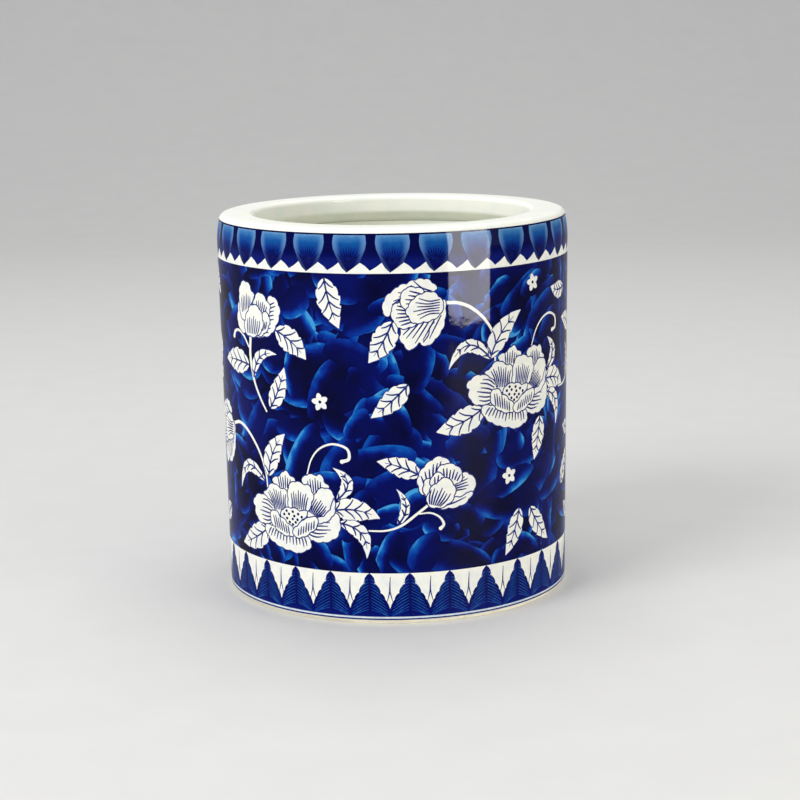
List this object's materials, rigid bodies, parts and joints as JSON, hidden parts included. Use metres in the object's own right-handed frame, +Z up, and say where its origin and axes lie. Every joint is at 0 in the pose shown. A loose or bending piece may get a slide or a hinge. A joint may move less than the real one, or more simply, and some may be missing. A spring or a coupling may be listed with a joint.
{
  "type": "brush holder pot",
  "caption": "Upright cylindrical porcelain pot with a thick in-turned lip and printed bands, for standing writing brushes in on a desk.",
  "frame": {"origin": "middle of the plane that the foot stands on", "axes": "+Z up along the pot's axis, -Y towards the side with the open flower low on the left and the other one high on the right"},
  "size_m": [0.11, 0.11, 0.119],
  "materials": {
    "clay_body": "fired unglazed porcelain, matt",
    "white_glaze": "gloss, warm white",
    "inside_glaze": "gloss, cream white",
    "cobalt_print": "gloss, deep cobalt blue under clear glaze",
    "border_print": "gloss, blue and white under clear glaze",
    "white_print": "gloss, white reserved under clear glaze"
  },
  "bodies": {
    "root": {"wall": "clay_body", "mouth_ring": "white_glaze", "floor_disc": "white_glaze", "foot_ring": "clay_body", "liner_glaze": "inside_glaze", "upper_border": "border_print", "floral_field": "cobalt_print", "lower_border": "border_print"}
  },
  "joints": []
}
